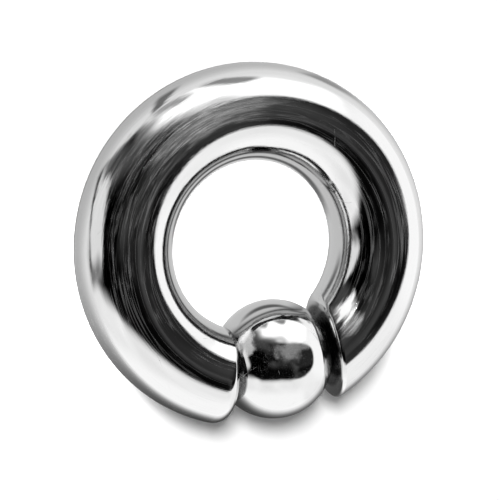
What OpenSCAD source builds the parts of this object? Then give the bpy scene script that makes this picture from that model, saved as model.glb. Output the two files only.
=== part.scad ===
// Captive bead ring for body jewellery: a heavy round bar bent into an open
// ring, and a solid ball held between the two cupped ends of the bar.
//
// The ring lies on its side on the plane z = 0. The bead is thicker than the
// bar, so the part rests on the bead (at -Y) and on the side of the bar opposite
// the bead (at +Y), and the plane of the ring tilts a little about X.
// The axis of the ring crosses the plane of the bar right above the origin.

/* [Bar] */
// Diameter of the round bar (0 gauge)
bar_d = 8; // [7:0.5:9]
// Diameter of the hole inside the ring
hole_d = 14.3; // [13:0.1:18]

/* [Bead] */
// Diameter of the bead
bead_d = 10; // [9:0.5:12]
// How far the bead's centre lies inside the circle that the bar's centre follows
bead_inset = 1.35; // [0.8:0.05:2]
// Play all round between the bead and the cups that hold it
seat_play = 0.05; // [0.02:0.01:0.1]

/* [Ends of the bar] */
// How deep the bead sinks into the end on the left, seen from above
left_cup_depth = 0.8; // [0.3:0.1:1.2]
// How deep the bead sinks into the end on the right
right_cup_depth = 0.3; // [0.2:0.1:1.2]
// Angle by which the left face opens towards the outside of the ring
left_face_lean = 11; // [0:1:15]
// Angle by which the right face opens towards the outside of the ring
right_face_lean = 0; // [0:1:15]

/* [Hidden] */
$fn = 96;

steel = [0.77, 0.77, 0.78];

bar_r = bar_d / 2;
bead_r = bead_d / 2;
seat_r = bead_r + seat_play;

// Radius of the circle that the middle of the bar follows
ring_r = hole_d / 2 + bar_r;
// From the ring's axis to the bead's centre
bead_reach = ring_r - bead_inset;

// Tilt at which the bead and the far side of the bar both touch z = 0
rest_tilt = asin(max(0, bead_r - bar_r) / (ring_r + bead_reach));
// Height of the ring's centre when it rests like that
ring_z = bar_r + ring_r * sin(rest_tilt);

// Each face of the gap is cut this far above and below the bead's centre,
// past the inside and the outside of the bar
cut_reach = bar_d;

// From the flat ring, centred on its own axis with the bead towards -Y,
// to the way it rests
module at_rest() {
    translate([0, 0, ring_z])
        rotate([-rest_tilt, 0, 0])
            children();
}

// The bar as a closed ring, before its ends are cut
module bent_bar() {
    rotate_extrude()
        translate([ring_r, 0])
            circle(r = bar_r);
}

// A point on an end face, in the plane of the ring and from the bead's centre.
// The face stands gap away from there and leans open by lean; up runs along it.
function face_point(gap, lean, up) =
    [gap * cos(lean) - up * sin(lean), gap * sin(lean) + up * cos(lean)];

function mirrored(p) = [-p[0], p[1]];

// What the saw takes away between the two end faces
module end_gap() {
    right_gap = bead_r - right_cup_depth;
    left_gap = bead_r - left_cup_depth;
    translate([0, -bead_reach, 0])
        linear_extrude(2 * bar_d, center = true)
            polygon([
                face_point(right_gap, right_face_lean, -cut_reach),
                face_point(right_gap, right_face_lean, cut_reach),
                mirrored(face_point(left_gap, left_face_lean, cut_reach)),
                mirrored(face_point(left_gap, left_face_lean, -cut_reach))
            ]);
}

// The ball's seat in both ends: one sphere a little larger than the bead
module bead_seat() {
    translate([0, -bead_reach, 0])
        sphere(r = seat_r);
}

module open_ring() {
    color(steel)
        at_rest()
            difference() {
                bent_bar();
                end_gap();
                bead_seat();
            }
}

module captive_bead() {
    color(steel)
        at_rest()
            translate([0, -bead_reach, 0])
                sphere(r = bead_r);
}

open_ring();
captive_bead();
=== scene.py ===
"""A captive bead ring of polished steel, lying on its side on a pale floor inside a white light tent.

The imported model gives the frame: X runs across the two ends of the bar, the bead is towards -Y, and the
floor is at Z = 0. Sizes are written in millimetres and turned into metres by MM.
"""
from math import asin, atan2, cos, degrees, hypot, pi, radians, sin, sqrt

import bmesh
import bpy
from mathutils import Matrix, Vector


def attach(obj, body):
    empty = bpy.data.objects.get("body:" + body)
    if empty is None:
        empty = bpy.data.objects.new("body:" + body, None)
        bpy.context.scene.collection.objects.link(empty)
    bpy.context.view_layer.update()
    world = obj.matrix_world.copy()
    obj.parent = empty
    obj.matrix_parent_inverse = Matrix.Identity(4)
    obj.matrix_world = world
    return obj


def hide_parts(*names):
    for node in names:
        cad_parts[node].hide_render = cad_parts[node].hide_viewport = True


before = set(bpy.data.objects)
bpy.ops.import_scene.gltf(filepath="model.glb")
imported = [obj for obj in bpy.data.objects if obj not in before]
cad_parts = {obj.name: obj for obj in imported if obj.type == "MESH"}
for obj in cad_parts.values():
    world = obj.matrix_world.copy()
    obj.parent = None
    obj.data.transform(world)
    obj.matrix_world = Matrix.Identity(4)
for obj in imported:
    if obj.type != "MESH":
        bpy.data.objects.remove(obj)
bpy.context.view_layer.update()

# Camera
# It looks steeply down on the ring from 177 mm away, with the bead at the foot of the picture.
MM = 0.001
camera_place = Vector((-54.69, 40.92, 168.02)) * MM
camera_aim = Vector((-0.261, -0.340, 4.532)) * MM
picture_turn = radians(9.88)

looking = (camera_aim - camera_place).normalized()
to_the_right = looking.cross(Vector((sin(picture_turn), cos(picture_turn), 0))).normalized()
picture_up = to_the_right.cross(looking)
camera_turn = Matrix((to_the_right, picture_up, -looking)).transposed()


def add_object(name, data):
    made = bpy.data.objects.new(name, data)
    bpy.context.scene.collection.objects.link(made)
    return made


camera_data = bpy.data.cameras.new("camera")
camera_data.lens = 154.05
camera_data.sensor_width = 36
camera_data.clip_start = 0.01
camera_data.clip_end = 10
camera = add_object("camera", camera_data)
camera.matrix_world = Matrix.Translation(camera_place) @ camera_turn.to_4x4()
bpy.context.scene.camera = camera
bpy.context.scene.view_settings.view_transform = "Standard"


# Light tent
# White cloth stands round the ring on all sides. The lens looks in through a wide opening, which is dark,
# with a softbox above it and a lit side panel. Polished steel shows little but what this tent looks like.
def add_node(tree, kind, feeds=None, **settings):
    """A new node with its settings. feeds gives its inputs: plain values, or other nodes' outputs."""
    made = tree.nodes.new(kind)
    for name, value in settings.items():
        setattr(made, name, value)
    for socket, value in (feeds or {}).items():
        if isinstance(value, bpy.types.NodeSocket):
            tree.links.new(value, made.inputs[socket])
        else:
            made.inputs[socket].default_value = value
    return made


def number(tree, operation, *values):
    """One step of arithmetic on numbers."""
    return add_node(tree, "ShaderNodeMath", dict(enumerate(values)), operation=operation).outputs[0]


def times(tree, product, *others):
    """All the numbers multiplied together."""
    for other in others:
        product = number(tree, "MULTIPLY", product, other)
    return product


def arrow(tree, operation, *values):
    """One step of arithmetic on arrows, which are places, offsets or directions."""
    made = add_node(tree, "ShaderNodeVectorMath", dict(enumerate(values)), operation=operation)
    return made.outputs["Value" if operation in ("LENGTH", "DOT_PRODUCT") else "Vector"]


def scaled(tree, one_arrow, size):
    feeds = {0: one_arrow, "Scale": size}
    return add_node(tree, "ShaderNodeVectorMath", feeds, operation="SCALE").outputs[0]


def ramp(tree, value, start, end, low=0.0, high=1.0):
    """A smooth rise from low to high as value goes from start to end."""
    feeds = {"Value": value, "From Min": start, "From Max": end, "To Min": low, "To Max": high}
    return add_node(tree, "ShaderNodeMapRange", feeds, interpolation_type="SMOOTHSTEP").outputs[0]


def mixed(tree, share, first, second):
    """The first number where share is 0, the second where it is 1."""
    return add_node(tree, "ShaderNodeMix", {0: share, 2: first, 3: second}, data_type="FLOAT").outputs[0]


def cloud(tree, place, scale, detail=2.0, roughness=0.5, output=0):
    """Soft noise about 0.5. Output 0 is one number, output 1 an arrow of three."""
    feeds = {"Vector": place, "Scale": scale, "Detail": detail, "Roughness": roughness}
    return add_node(tree, "ShaderNodeTexNoise", feeds).outputs[output]


tent = bpy.data.worlds.new("light_tent")
tent.use_nodes = True
bpy.context.scene.world = tent
sky = tent.node_tree
sky.nodes.clear()

# the chart of the tent: degrees right of and above the camera, as a mirror ball shows them
towards = add_node(sky, "ShaderNodeTexCoord").outputs["Generated"]
feeds = {"Vector": towards, "Rotation": camera_turn.inverted().to_euler()}
from_camera = add_node(sky, "ShaderNodeMapping", feeds, vector_type="VECTOR").outputs[0]
depth = add_node(sky, "ShaderNodeSeparateXYZ", {0: from_camera}).outputs["Z"]
sideways = arrow(sky, "NORMALIZE", arrow(sky, "MULTIPLY", from_camera, (1, 1, 0)))
chart = scaled(sky, sideways, times(sky, number(sky, "ARCCOSINE", depth), degrees(1)))

# the cloth hangs in folds, which shift every border on the chart by a few degrees
fold_shift = 8
fold = arrow(sky, "SUBTRACT", cloud(sky, chart, scale=0.03, output=1), (0.5, 0.5, 0.5))
chart = arrow(sky, "ADD", chart, arrow(sky, "MULTIPLY", fold, (fold_shift, fold_shift, 0)))

dark_room = ramp(sky, cloud(sky, chart, scale=0.03, detail=3), 0.44, 0.74, low=0.006, high=0.11)
tent_panels = [
    # name, right of camera, above camera, half width, half height, corner, softness, turn, brightness
    ("shade below", -25, -165, 85, 45, 40, 60, 8, 0.12),
    ("back wall", -60, 165, 150, 50, 40, 24, 0, 0.62),
    ("back wall left", -140, 95, 34, 62, 30, 40, 0, 0.72),
    ("back wall right", 80, 119, 36, 22, 18, 26, -40, 0.28),
    ("table edge", -5, -95, 75, 30, 20, 24, 0, 1.75),
    ("softbox", 25, 60, 47, 22, 14, 14, -4, 2.4),
    ("softbox stand", -43, 95, 5, 22, 5, 12, 4, 0.25),
    ("softbox clip", 7, 84, 20, 8, 8, 9, -20, 0.45),
    ("softbox flap", -25, 72, 14, 7, 6, 10, -12, 0.55),
    ("dim corner", -58, 50, 30, 15, 12, 16, -8, 0.28),
    ("tent right", 108, 15, 42, 60, 40, 30, 0, 1.75),
    ("opening top", -10, 31, 34, 12, 11, 20, 0, 0.22),
    ("softbox sag", 14, 38, 8, 6, 6, 14, 0, 1.2),
    ("opening", 17, -3, 66, 35, 34, 6, 0, dark_room),
    ("under the lens", 6, -26, 36, 13, 12, 16, 0, 0.003),
    ("opening right", 60, 8, 23, 24, 23, 6, 0, 0.03),
    ("opening left", -67, 20, 32, 42, 20, 6, 20, 0.004),
    ("haze", -38, 30, 32, 15, 14, 22, -20, 0.09),
    ("glare", 31, 9, 21, 15, 14, 20, 0, 0.08),
    ("lens side", -38, -6, 30, 28, 20, 14, 0, 0.0),
    ("side panel", -66, 5, 15, 30, 14, 7, 18, 1.3),
    ("side panel foot", -67, -23, 17, 6, 6, 12, 12, 0.35),
]
cloth_brightness = 1.55
uneven_cloth = cloud(sky, chart, scale=0.02)
glow = ramp(sky, uneven_cloth, 0.35, 0.65, low=0.93 * cloth_brightness, high=1.05 * cloth_brightness)
for name, right, above, half_width, half_height, corner, softness, turn, brightness in tent_panels:
    feeds = {"Vector": chart, "Location": (right, above, 0), "Rotation": (0, 0, radians(turn))}
    on_panel = add_node(sky, "ShaderNodeMapping", feeds, vector_type="TEXTURE", label=name).outputs[0]
    core = (half_width - corner, half_height - corner, 0)
    past_core = arrow(sky, "SUBTRACT", arrow(sky, "ABSOLUTE", on_panel), core)
    past_core = arrow(sky, "LENGTH", arrow(sky, "MAXIMUM", past_core, (0, 0, 0)))
    inside = ramp(sky, past_core, corner + softness / 2, corner - softness / 2)
    glow = mixed(sky, inside, glow, brightness)

# only mirrored rays see the tent, and the floor gets an even light from all sides
even_light = 0.3
mirrored = add_node(sky, "ShaderNodeBackground", {"Strength": glow}).outputs[0]
plain = add_node(sky, "ShaderNodeBackground", {"Strength": even_light}).outputs[0]
is_mirrored = add_node(sky, "ShaderNodeLightPath").outputs["Is Glossy Ray"]
seen = add_node(sky, "ShaderNodeMixShader", {0: is_mirrored, 1: plain, 2: mirrored}).outputs[0]
add_node(sky, "ShaderNodeOutputWorld", {"Surface": seen})

# Lamps
# A broad lamp over the top of the picture lights the floor and lays a soft shadow at the ring's foot.
# Three spots light the card in the ring's hole and on both sides of it. The steel mirrors none of them.
key_strength = 3.6
over_the_top = 0.96 * -looking + 0.22 * picture_up
spot_power = 2.0
spot_distance = 150
spot_softness = 4
spots = [
    # name, middle and radius of the lit circle on the floor
    ("hole_lamp", (0.4, 1.0, 0), 12),
    ("left_lamp", (-20.0, -3.0, 0), 14),
    ("right_lamp", (20.5, -4.0, 0), 14),
]


def add_lamp(name, kind, energy, place, aim):
    lamp_data = bpy.data.lights.new(name, kind)
    lamp_data.energy = energy
    lamp = add_object(name, lamp_data)
    turn = (place - aim).to_track_quat("Z", "Y").to_matrix().to_4x4()
    lamp.matrix_world = Matrix.Translation(place) @ turn
    lamp.visible_glossy = False
    return lamp_data


key = add_lamp("key_lamp", "SUN", key_strength, over_the_top, Vector())
key.angle = radians(13)
for name, middle, circle_radius in spots:
    aim = Vector(middle) * MM
    spot = add_lamp(name, "SPOT", spot_power, aim - spot_distance * MM * looking, aim)
    spot.spot_size = 2 * atan2(circle_radius, spot_distance)
    spot.spot_blend = 1.0
    spot.shadow_soft_size = spot_softness * MM

# Floor
# A wide sheet of matt white card that the ring lies on. It takes the lamps' light and the ring's shadow.
# The steel doesn't mirror it, but the tent and the near card in its place.
floor_reach = 1500
white_card = bpy.data.materials.new("white_card")
white_card.use_nodes = True
card = white_card.node_tree.nodes["Principled BSDF"]
card.inputs["Base Color"].default_value = (0.86, 0.86, 0.86, 1)
card.inputs["Roughness"].default_value = 0.9
card.inputs["Specular IOR Level"].default_value = 0.1


def lay_sheet(name, reach, height, material):
    """A flat square sheet, centred under the ring. reach is half its side."""
    mesh = bpy.data.meshes.new(name)
    sides = ((-1, -1), (1, -1), (1, 1), (-1, 1))
    corners = [Vector((x * reach, y * reach, height)) * MM for x, y in sides]
    mesh.from_pydata(corners, [], [(0, 1, 2, 3)])
    mesh.materials.append(material)
    return add_object(name, mesh)


floor = lay_sheet("floor", floor_reach, 0, white_card)
floor.visible_glossy = False

# Near card
# What the steel mirrors of the card round the ring, in place of the floor. It glows, though it is no
# lamp, and fades out sideways. Its glow is painted light, with painted shade along the ring's foot, under
# the bead, in front and in the hole. Behind the ring it holds painted dark reflections of a seam, a lamp
# stand and its foot, and of a corner of the card.
near_reach = 60
near_height = 0.01
foot_circle = 11.8
bead_foot = (1, -9, 0)
front_shade = (-4, -17, 0)
hole_shade = (2, 1.3, 0)
# painted dark reflections: dark strips painted into the card's glow, for a seam, a lamp stand and its
# foot
shade_strips = [
    # what it is, start, direction, length, half width, share of the light left
    ("seam", (-18.0, 14.9), (-0.987, -0.16), 70, 1.6, 0.1),
    ("lamp stand", (-5.3, 19.3), (-0.44, 0.9), 15, 1.7, 0.2),
    ("lamp foot", (11.5, 15.8), (0.95, -0.31), 6, 3.0, 0.4),
]
# a painted dark reflection: a corner of the card behind the ring, painted dark into the glow
dark_corner = (-16.5, 13.5, 0)
corner_left = (-0.97, -0.24, 0)
corner_back = (0.42, 0.907, 0)
corner_border = 3
corner_light = 0.2

shaded_card = bpy.data.materials.new("shaded_card")
shaded_card.use_nodes = True
shading = shaded_card.node_tree
shading.nodes.clear()
on_card = scaled(shading, add_node(shading, "ShaderNodeTexCoord").outputs["Object"], 1 / MM)
from_middle = arrow(shading, "LENGTH", on_card)


def away_from(tree, place, point, squeeze=(1, 1, 1)):
    """How far a place is from a point. squeeze below 1 draws the reach out that way."""
    return arrow(tree, "LENGTH", arrow(tree, "MULTIPLY", arrow(tree, "SUBTRACT", place, point), squeeze))


# painted shade along the ring's foot and under the bead, standing in for their contact shadows
from_foot = number(shading, "ABSOLUTE", number(shading, "SUBTRACT", from_middle, foot_circle))
by_foot = ramp(shading, from_foot, 0.8, 6, low=0.06, high=0.75)
by_bead = ramp(shading, away_from(shading, on_card, bead_foot), 1.5, 2.8, low=0.1)
light = times(shading, by_foot, by_bead)

# painted shade on the card in front of the ring
from_front = away_from(shading, on_card, front_shade, squeeze=(0.6, 1, 1))
in_front = ramp(shading, from_front, 1, 24, low=0.06, high=0.6)
outside = ramp(shading, from_middle, 13, 15.5)
light = mixed(shading, outside, light, number(shading, "MINIMUM", light, in_front))

# painted shade across the hole, and painted light that grows farther out
from_hole = away_from(shading, on_card, hole_shade, squeeze=(0.25, 1, 1))
in_hole = ramp(shading, from_hole, 0.7, 2.6, low=0.2)
farther_out = ramp(shading, from_middle, 15, 30, low=1.0, high=1.75)
light = times(shading, light, in_hole, farther_out)

# each strip paints a dark line into the glow, as a painted reflection
for _, (start_x, start_y), (way_x, way_y), length, half_width, light_left in shade_strips:
    from_start = arrow(shading, "SUBTRACT", on_card, (start_x, start_y, 0))
    along = arrow(shading, "DOT_PRODUCT", from_start, (way_x, way_y, 0))
    aside = number(shading, "ABSOLUTE", arrow(shading, "DOT_PRODUCT", from_start, (-way_y, way_x, 0)))
    begun = ramp(shading, along, -1.5, 1.5)
    not_over = ramp(shading, along, length + 3, length - 2)
    across = ramp(shading, aside, 1.5 * half_width, 0.5 * half_width)
    light = mixed(shading, times(shading, across, begun, not_over), light, light_left)

# the painted dark corner
from_corner = arrow(shading, "SUBTRACT", on_card, dark_corner)
to_left = ramp(shading, arrow(shading, "DOT_PRODUCT", from_corner, corner_left), 0, corner_border)
to_back = ramp(shading, arrow(shading, "DOT_PRODUCT", from_corner, corner_back), 0, corner_border)
light = mixed(shading, times(shading, to_left, to_back), light, corner_light)

# the card glows with this painted light and shade
lit = add_node(shading, "ShaderNodeEmission", {"Strength": light}).outputs[0]
clear = add_node(shading, "ShaderNodeBsdfTransparent").outputs[0]
there = ramp(shading, from_middle, near_reach, 0.5 * near_reach)
fading = add_node(shading, "ShaderNodeMixShader", {0: there, 1: clear, 2: lit}).outputs[0]
add_node(shading, "ShaderNodeOutputMaterial", {"Surface": fading})

near_floor = lay_sheet("near_floor", near_reach, near_height, shaded_card)
near_floor.visible_camera = False
near_floor.visible_diffuse = False
near_floor.visible_shadow = False

# Bent bar
# The ring is one round steel bar, 8 mm thick, bent to a circle and ground off at both ends, then
# polished by hand along its length. Its ends are rounded over, and each has a shallow round cup that
# holds the bead.
bar_radius = 4.0
bend_radius = 11.15
bead_radius = 5.0
bead_reach = 9.8
seat_radius = 5.05

# the ring rests on the bead and on the far side of the bar, which tilts it a little
rest_tilt = asin((bead_radius - bar_radius) / (bend_radius + bead_reach))
bend_height = bar_radius + bend_radius * sin(rest_tilt)
lifted = Matrix.Translation((0, 0, bend_height * MM))
at_rest = lifted @ Matrix.Rotation(-rest_tilt, 4, "X") @ Matrix.Scale(MM, 4)

# each end: how far its face lies from the bead's centre, how it leans and how widely its rim is rounded
right_end = {"side": 1, "gap": 4.55, "lean": 0.0, "rim": 0.45}
left_end = {"side": -1, "gap": 4.08, "lean": radians(11), "rim": 12.0}

# foot and middle place the bead's centre, inward and outward as the end sees it. face is how far in the
# end is cut, and cup is the cup's radius there
for end in (right_end, left_end):
    end["foot"] = -bead_reach * sin(end["lean"])
    end["middle"] = bead_reach * cos(end["lean"])
    end["face"] = end["gap"] + end["foot"]
    end["cup"] = sqrt(seat_radius ** 2 - end["gap"] ** 2)

# the rim takes most of the room between cup and edge, and the cup stays inside the edge that is left
rim_share = 0.92
least_rim = 0.03
cup_share = 0.9
lead_length = 0.2

# rows of faces along the plain lead, over the rim, over the face and down the cup
lead_rows = 4
rim_rows = 10
face_rows = 5
cup_rows = 12


def on_bar(radius, around, into):
    """How far outward along an end's face the bar reaches, at a radius and an angle around the bar."""
    return sqrt((bend_radius + radius * cos(around)) ** 2 - into ** 2)


def end_surface(end, radius):
    """How far into the metal the end lies at a radius from the bead's axis, on the face or in the cup."""
    if radius >= end["cup"]:
        return end["face"]
    return end["foot"] + sqrt(seat_radius ** 2 - radius ** 2)


def edge_radius(end, around):
    """How far the face's edge is from the bead's axis."""
    across = on_bar(bar_radius, around, end["face"]) - end["middle"]
    return hypot(across, bar_radius * sin(around))


def rim_rounding(end, around):
    """Radius of the rounded rim at an angle around the bar, smaller where the cup comes near the edge."""
    room = max(rim_share * (edge_radius(end, around) - end["cup"]), least_rim)
    return room / (1 + room / end["rim"])


for end in (right_end, left_end):
    end["start"] = end["face"] + rim_rounding(end, 0) + lead_length


def end_point(end, into, outward, up):
    """A point of an end: into the metal from the ring's middle, outward along the face, and up."""
    turned = Matrix.Rotation(end["lean"], 2)
    across, along = turned @ Vector((into, -outward))
    return Vector((end["side"] * across, along, up))


def end_rows(end, around):
    """The points past the swept bar at one angle around it: over the rim, over the face, down the cup."""
    rounding = rim_rounding(end, around)
    edge_into = end_surface(end, edge_radius(end, around))
    points = []
    for row in range(1, lead_rows):
        into = end["start"] + (edge_into + rounding - end["start"]) * row / lead_rows
        points.append((into, on_bar(bar_radius, around, into), bar_radius * sin(around)))
    for row in range(rim_rows + 1):
        over = pi / 2 * row / rim_rows
        radius = bar_radius - rounding * (1 - cos(over))
        into = edge_into + rounding * (1 - sin(over))
        points.append((into, on_bar(radius, around, into), radius * sin(around)))
    edge = Vector(points[-1][1:]) - Vector((end["middle"], 0))
    turn = atan2(edge.y, edge.x)
    cup = min(end["cup"], cup_share * edge.length)
    for row in range(1, face_rows + 1):
        radius = edge.length + (cup - edge.length) * row / face_rows
        points.append((end_surface(end, radius), end["middle"] + radius * cos(turn), radius * sin(turn)))
    for row in range(1, cup_rows):
        radius = seat_radius * sin(asin(cup / seat_radius) * (1 - row / cup_rows))
        points.append((end_surface(end, radius), end["middle"] + radius * cos(turn), radius * sin(turn)))
    return [end_point(end, *point) for point in points]


def around_bar(vert):
    """The angle around the bar of a point of its swept edge."""
    return atan2(vert.co.z, hypot(vert.co.x, vert.co.y) - bend_radius)


def close_end(shell, end):
    """Carries the swept bar's open edge over the rim, the face and the cup, and closes the cup's foot."""
    edge = [vert for vert in shell.verts if vert.is_boundary and vert.co.x * end["side"] > 0]
    edge.sort(key=around_bar)
    columns = []
    for first in edge:
        columns.append([first] + [shell.verts.new(point) for point in end_rows(end, around_bar(first))])
    foot = shell.verts.new(end_point(end, end["foot"] + seat_radius, end["middle"], 0))
    cup_edge = lead_rows + rim_rows + face_rows
    for one, other in zip(columns, columns[1:] + columns[:1]):
        for row in range(len(one) - 1):
            shell.faces.new((one[row], one[row + 1], other[row + 1], other[row]))
        shell.faces.new((one[-1], foot, other[-1]))
        shell.edges.get((one[cup_edge], other[cup_edge])).smooth = False


# the tree sweeps a circle along the bend, between the two planes where the rounding of the ends starts
bend = bpy.data.node_groups.new("bent_bar", "GeometryNodeTree")
bend.is_modifier = True
bend_sizes = {
    "Bend Radius": bend_radius,
    "Bar Radius": bar_radius,
    "Right Start": right_end["start"],
    "Left Start": left_end["start"],
    "Left Lean": left_end["lean"],
    "Polish Depth": 0.012,
    "Polish Scale": 0.25,
    "Unpolished Share": 0.03,
    "Steps Along": 480,
    "Steps Around": 128,
}


def open_tree(tree, sizes, material_name):
    """Gives a tree its named inputs and its output, and returns the inputs as seen from inside."""
    for name, value in sizes.items():
        kind = "NodeSocketInt" if isinstance(value, int) else "NodeSocketFloat"
        tree.interface.new_socket(name, in_out="INPUT", socket_type=kind)
    tree.interface.new_socket(material_name, in_out="INPUT", socket_type="NodeSocketMaterial")
    tree.interface.new_socket("Geometry", in_out="OUTPUT", socket_type="NodeSocketGeometry")
    return add_node(tree, "NodeGroupInput").outputs


def kept(tree, geometry, value, kind):
    """Keeps a value on the points of a curve, so that the mesh swept from it carries the value too."""
    made = add_node(tree, "GeometryNodeCaptureAttribute")
    made.capture_items.new(kind, "kept")
    tree.links.new(geometry, made.inputs[0])
    tree.links.new(value, made.inputs[1])
    return made.outputs[0], made.outputs[1]


def close_tree(tree, geometry, material):
    """Ends a tree with a smooth, plain mesh that has its material."""
    smooth = add_node(tree, "GeometryNodeSetShadeSmooth", {"Geometry": geometry}).outputs[0]
    real = add_node(tree, "GeometryNodeRealizeInstances", {0: smooth}).outputs[0]
    steel = add_node(tree, "GeometryNodeSetMaterial", {"Geometry": real, "Material": material}).outputs[0]
    add_node(tree, "NodeGroupOutput", {0: steel})


def mesh_from(tree, values):
    """Runs the tree once on an empty mesh and returns the plain mesh that it makes."""
    carrier = add_object(tree.name, bpy.data.meshes.new(tree.name))
    runner = carrier.modifiers.new(tree.name, "NODES")
    runner.node_group = tree
    for item in tree.interface.items_tree:
        if item.in_out == "INPUT":
            runner[item.identifier] = values[item.name]
    ready = carrier.evaluated_get(bpy.context.evaluated_depsgraph_get())
    mesh = bpy.data.meshes.new_from_object(ready)
    carrier.modifiers.remove(runner)
    bpy.data.objects.remove(carrier)
    return mesh


given = open_tree(bend, bend_sizes, "Steel")
feeds = {"Resolution": given["Steps Around"], "Radius": given["Bar Radius"]}
circle = add_node(bend, "GeometryNodeCurvePrimitiveCircle", feeds).outputs[0]
line = add_node(bend, "GeometryNodeCurvePrimitiveLine", {"End": (1, 0, 0)}).outputs[0]
feeds = {"Curve": line, "Count": given["Steps Along"]}
line = add_node(bend, "GeometryNodeResampleCurve", feeds).outputs[0]
factor = add_node(bend, "GeometryNodeSplineParameter").outputs["Factor"]
line, along = kept(bend, line, factor, "FLOAT")
circle, section = kept(bend, circle, add_node(bend, "GeometryNodeInputPosition").outputs[0], "VECTOR")
tube = add_node(bend, "GeometryNodeCurveToMesh", {"Curve": line, "Profile Curve": circle}).outputs[0]

outward, up, _ = add_node(bend, "ShaderNodeSeparateXYZ", {0: section}).outputs
reach = number(bend, "ADD", given["Bend Radius"], outward)
right_turn = number(bend, "ARCSINE", number(bend, "DIVIDE", given["Right Start"], reach))
left_turn = number(bend, "ARCSINE", number(bend, "DIVIDE", given["Left Start"], reach))
left_turn = number(bend, "SUBTRACT", 2 * pi, number(bend, "ADD", left_turn, given["Left Lean"]))
turn = mixed(bend, along, right_turn, left_turn)

# hand polishing leaves the bar a hundredth of a millimetre off round, but not at the ground ends
way = times(bend, turn, given["Bend Radius"])
in_bar = add_node(bend, "ShaderNodeCombineXYZ", {"X": outward, "Y": up, "Z": way}).outputs[0]
unevenness = number(bend, "SUBTRACT", cloud(bend, in_bar, given["Polish Scale"], detail=1.0), 0.5)
end_distance = number(bend, "MINIMUM", along, number(bend, "SUBTRACT", 1, along))
polished = ramp(bend, end_distance, 0.0, given["Unpolished Share"])
depth_share = number(bend, "DIVIDE", given["Polish Depth"], given["Bar Radius"])
swell = number(bend, "ADD", times(bend, unevenness, polished, depth_share), 1)
reach = number(bend, "ADD", given["Bend Radius"], times(bend, outward, swell))
bent = add_node(bend, "ShaderNodeCombineXYZ", {
    "X": times(bend, reach, number(bend, "SINE", turn)),
    "Y": times(bend, reach, number(bend, "COSINE", turn), -1),
    "Z": times(bend, up, swell),
}).outputs[0]
tube = add_node(bend, "GeometryNodeSetPosition", {"Geometry": tube, "Position": bent}).outputs[0]
close_tree(bend, tube, given["Steel"])


def in_ring(tree, at):
    """A point of the metal in millimetres: flat from the bend's middle, and as outward, up and along."""
    object_place = add_node(tree, "ShaderNodeTexCoord").outputs["Object"]
    feeds = {
        "Vector": object_place,
        "Location": at.translation,
        "Rotation": at.to_euler(),
        "Scale": (MM, MM, MM),
    }
    flat = add_node(tree, "ShaderNodeMapping", feeds, vector_type="TEXTURE").outputs[0]
    x, y, z = add_node(tree, "ShaderNodeSeparateXYZ", {0: flat}).outputs
    outward = arrow(tree, "LENGTH", arrow(tree, "MULTIPLY", flat, (1, 1, 0)))
    way = times(tree, number(tree, "ARCTAN2", x, y), bend_radius)
    in_metal = add_node(tree, "ShaderNodeCombineXYZ", {"X": outward, "Y": z, "Z": way}).outputs[0]
    return flat, in_metal


def drawn_out(tree, place, share):
    """Draws a pattern out along the bar. The smaller the share, the longer it gets."""
    return arrow(tree, "MULTIPLY", place, (1, 1, share))


def level_line(tree, noise, width):
    """1 along the line where a noise passes 0.5, 0 away from it."""
    return ramp(tree, number(tree, "ABSOLUTE", number(tree, "SUBTRACT", noise, 0.5)), width, 0.0)


def scratches(tree, place, scale, width, share):
    """Fine curved scratches: level lines of a slow noise, broken up by a second one."""
    line = level_line(tree, cloud(tree, place, scale, detail=0.0), width)
    return times(tree, line, ramp(tree, cloud(tree, place, 2.7 * scale, detail=1.0), share, share + 0.06))


def patch(tree, place, middle, squeeze, reach, ragged):
    """1 near a point of the metal, 0 well past its reach, with an edge frayed by a noise."""
    frayed = times(tree, number(tree, "SUBTRACT", ragged, 0.5), 2.4 * reach)
    distance = number(tree, "ADD", away_from(tree, place, middle, squeeze), frayed)
    return ramp(tree, distance, 1.4 * reach, 0.5 * reach)


def weighed(tree, base, *shares):
    """The base, plus each value times its share."""
    for value, share in shares:
        base = number(tree, "MULTIPLY_ADD", value, share, base)
    return base


def set_steel(tree, rough, dull, height):
    """Sets a steel's roughness, how far it has lost its mirror, and its relief."""
    shader = tree.nodes["Principled BSDF"]
    relief = add_node(tree, "ShaderNodeBump", {"Height": height, "Distance": relief_depth}).outputs[0]
    tree.links.new(number(tree, "SUBTRACT", 1, dull), shader.inputs["Metallic"])
    tree.links.new(rough, shader.inputs["Roughness"])
    tree.links.new(relief, shader.inputs["Normal"])
    return shader


steel_grey = 0.66
relief_depth = 0.01 * MM
bar_patches = {
    # what it is: middle (outward, up, along), squeeze along the bar, reach
    "buffed": ((12.8, 3.5, -7.4), 0.42, 2.3),
    "buffed end": ((9.1, 3.4, 30.5), 0.3, 0.9),
    "wheel mark": ((8.75, 3.3, 26.8), 0.42, 0.6),
    "worn": ((12.1, 3.88, -2.2), 0.3, 1.3),
    "worn end": ((9.75, 3.76, 27.5), 0.5, 0.6),
}

# the bar's polish: fine streaks along the bend, buffed and worn patches, and a few thin scratches
bar_steel = bpy.data.materials.new("bar_steel")
bar_steel.use_nodes = True
steel = bar_steel.node_tree
flat, in_metal = in_ring(steel, at_rest.normalized())
streak = cloud(steel, drawn_out(steel, in_metal, 0.055), scale=8.5, detail=3.0, roughness=0.7)
bands = cloud(steel, drawn_out(steel, in_metal, 0.055), scale=1.5, detail=1.0)
fibre = cloud(steel, drawn_out(steel, in_metal, 0.12), scale=2.2, detail=3.0, roughness=0.6)
arcs = level_line(steel, cloud(steel, drawn_out(steel, in_metal, 0.03), scale=1.7), 0.022)
scratch = scratches(steel, flat, scale=0.17, width=0.0008, share=0.6)

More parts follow.
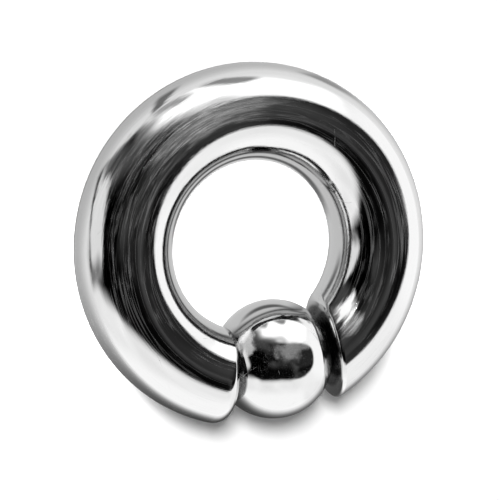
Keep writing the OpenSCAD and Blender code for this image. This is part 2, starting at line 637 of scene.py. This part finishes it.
on_patch = {}
for name, (middle, squeeze, reach) in bar_patches.items():
    on_patch[name] = patch(steel, in_metal, middle, (1, 1, squeeze), reach, fibre)
buffed = number(steel, "MAXIMUM", on_patch["buffed"], on_patch["buffed end"])
wheel_mark = on_patch["wheel mark"]
worn = number(steel, "MAXIMUM", times(steel, on_patch["worn"], 0.4), on_patch["worn end"])
worn = times(steel, worn, ramp(steel, streak, 0.4, 0.6, low=0.5))

# the streaks show in soft bands and in the buffed patches
in_bands = ramp(steel, bands, 0.42, 0.62, low=0.02)
in_places = ramp(steel, cloud(steel, flat, scale=0.3), 0.4, 0.6, low=0.05)
streaky = number(steel, "MAXIMUM", times(steel, in_places, in_bands), buffed)
streaks = times(steel, ramp(steel, streak, 0.47, 0.62), streaky)

# the cups, and the whole face of the left end, lie against the bead. Their colour is painted darker, as
# mottled painted shade between bar and bead, and they are made rougher. The cups are picked out by a
# radius and a reach along the bead's axis, and the left face by a depth into the metal
shade_radius = 3.5
shade_reach = 5.7
shade_past_face = 0.225
across = add_node(steel, "ShaderNodeSeparateXYZ", {0: flat}).outputs["X"]
from_axis = away_from(steel, flat, (0, -bead_reach, 0), squeeze=(0, 1, 1))
near_axis = ramp(steel, from_axis, shade_radius + 0.2, shade_radius - 0.2)
near_bead = ramp(steel, number(steel, "ABSOLUTE", across), shade_reach + 0.1, shade_reach - 0.1)
in_cup = times(steel, near_axis, near_bead)
left_face = (-cos(left_end["lean"]), sin(left_end["lean"]), 0)
past_face = number(steel, "SUBTRACT", arrow(steel, "DOT_PRODUCT", flat, left_face), left_end["face"])
on_face = ramp(steel, past_face, shade_past_face + 0.125, shade_past_face - 0.125)
on_left_face = times(steel, on_face, ramp(steel, across, -1.0, -2.0))
painted_end_shade = number(steel, "MAXIMUM", in_cup, on_left_face)
shade_mottle = ramp(steel, cloud(steel, flat, scale=9.0), 0.5, 0.62, low=0.56, high=0.35)
# the base colour is steel grey less the painted shade
grey = number(steel, "SUBTRACT", steel_grey, times(steel, painted_end_shade, shade_mottle))

rough = weighed(steel, 0.035, (streaks, 0.15), (scratch, 0.3), (wheel_mark, 0.3), (buffed, 0.06),
                (worn, 0.1), (painted_end_shade, 0.12))
dull = weighed(steel, 0.0, (streaks, 0.042), (scratch, 0.14), (wheel_mark, 0.8), (worn, 0.38),
               (times(steel, arcs, fibre), 0.08))
height = weighed(steel, 0.0, (streak, 0.3), (scratch, -0.4), (times(steel, buffed, fibre), 1.6))
shader = set_steel(steel, rough, dull, height)
steel.links.new(grey, shader.inputs["Base Color"])

bar_mesh = mesh_from(bend, bend_sizes | {"Steel": bar_steel})
bar_mesh.name = "bent_bar"
shell = bmesh.new()
shell.from_mesh(bar_mesh)
close_end(shell, right_end)
close_end(shell, left_end)
for face in shell.faces:
    face.smooth = True
bmesh.ops.recalc_face_normals(shell, faces=shell.faces)
bmesh.ops.transform(shell, matrix=at_rest, verts=shell.verts)
shell.to_mesh(bar_mesh)
shell.free()
bar = add_object("bent_bar", bar_mesh)
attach(bar, "ring")
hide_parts("open_ring")

# Bead
# A solid steel ball, 10 mm across, that the sprung bar holds in its two cups. It is tumbled and buffed,
# so its fine marks run all ways. It is scuffed where it rubs on the left end, and a little on top.
bead_middle = at_rest @ Vector((0, -bead_reach, 0))
ball = bpy.data.node_groups.new("bead", "GeometryNodeTree")
ball.is_modifier = True
ball_sizes = {
    "Radius": bead_radius,
    "Polish Depth": 0.008,
    "Polish Scale": 0.35,
    "Segments": 160,
    "Rings": 96,
}
given = open_tree(ball, ball_sizes, "Steel")
feeds = {"Segments": given["Segments"], "Rings": given["Rings"], "Radius": given["Radius"]}
sphere = add_node(ball, "GeometryNodeMeshUVSphere", feeds).outputs[0]
place = add_node(ball, "GeometryNodeInputPosition").outputs[0]
unevenness = number(ball, "SUBTRACT", cloud(ball, place, given["Polish Scale"], detail=1.0), 0.5)
depth_share = number(ball, "DIVIDE", given["Polish Depth"], given["Radius"])
swollen = scaled(ball, place, times(ball, unevenness, depth_share))
sphere = add_node(ball, "GeometryNodeSetPosition", {"Geometry": sphere, "Offset": swollen}).outputs[0]
close_tree(ball, sphere, given["Steel"])

bead_steel = bpy.data.materials.new("bead_steel")
bead_steel.use_nodes = True
steel = bead_steel.node_tree
feeds = {
    "Vector": add_node(steel, "ShaderNodeTexCoord").outputs["Object"],
    "Location": bead_middle,
    "Scale": (MM, MM, MM),
}
place = add_node(steel, "ShaderNodeMapping", feeds, vector_type="TEXTURE").outputs[0]
haze = cloud(steel, place, scale=1.1, detail=4.0, roughness=0.6)
dust = ramp(steel, cloud(steel, place, scale=14.0, detail=1.0), 0.58, 0.75)
dust = times(steel, dust, ramp(steel, haze, 0.4, 0.6, low=0.02, high=0.09))
scratch = scratches(steel, place, scale=0.35, width=0.001, share=0.6)
pits = cloud(steel, place, scale=9.0, detail=3.0)

rubbed = cloud(steel, place, scale=1.3, roughness=0.4)
by_left_end = patch(steel, place, (-3.1, 2.6, 2.9), (1, 1, 1), 0.85, rubbed)
on_top = patch(steel, place, (0.4, 1.95, 4.55), (0.45, 1, 1), 0.75, rubbed)
scuffed = number(steel, "MAXIMUM", by_left_end, times(steel, on_top, 0.45))

rough = weighed(steel, ramp(steel, haze, 0.45, 0.7, low=0.03, high=0.1), (scratch, 0.25), (scuffed, 0.12))
dull = weighed(steel, dust, (scuffed, 0.4))
height = weighed(steel, 0.0, (pits, 0.1), (scratch, -0.6))
shader = set_steel(steel, rough, dull, height)
shader.inputs["Base Color"].default_value = (steel_grey, steel_grey, steel_grey, 1)

bead_mesh = mesh_from(ball, ball_sizes | {"Steel": bead_steel})
bead_mesh.name = "bead"
poles_along_x = Matrix.Rotation(pi / 2, 4, "Y")
bead_mesh.transform(Matrix.Translation(bead_middle) @ poles_along_x @ Matrix.Scale(MM, 4))
bead = add_object("bead", bead_mesh)
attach(bead, "bead")
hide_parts("captive_bead")
